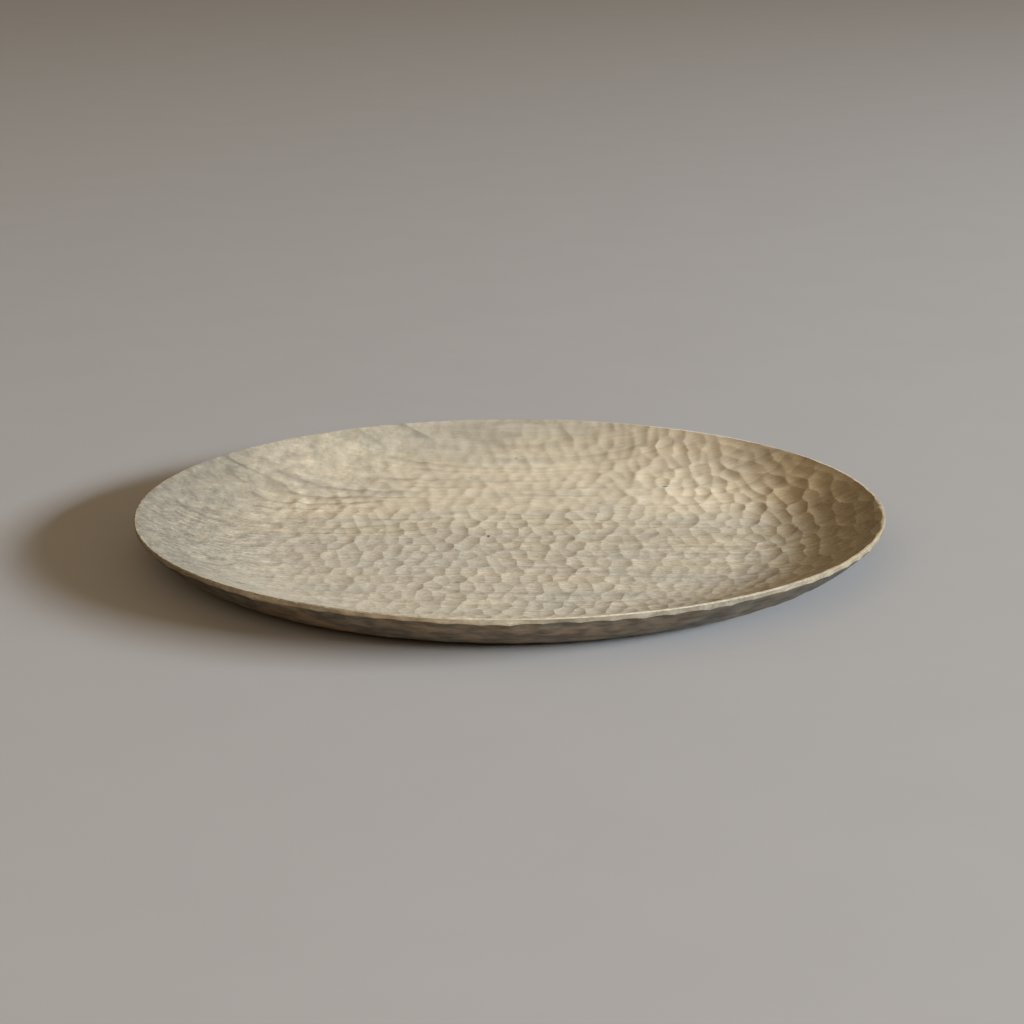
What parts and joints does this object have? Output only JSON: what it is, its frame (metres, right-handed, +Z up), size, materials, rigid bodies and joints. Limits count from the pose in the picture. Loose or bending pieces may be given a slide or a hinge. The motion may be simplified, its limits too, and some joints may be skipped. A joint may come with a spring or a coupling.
{
  "type": "carved wooden plate",
  "caption": "Shallow round plate carved from solid wood: gouge-marked dish, narrow flat rim, flared outer wall and flat base.",
  "frame": {"origin": "centre of the flat base, on the surface that the plate rests on", "axes": "+Z up along the plate's axis of revolution; X runs along the wood's grain"},
  "size_m": [0.3, 0.3, 0.017],
  "materials": {
    "greyed_wood": "bare carved wood, matt, greyed brown with fine straight grain"
  },
  "bodies": {
    "root": {"carved_plate": "greyed_wood"}
  },
  "joints": []
}
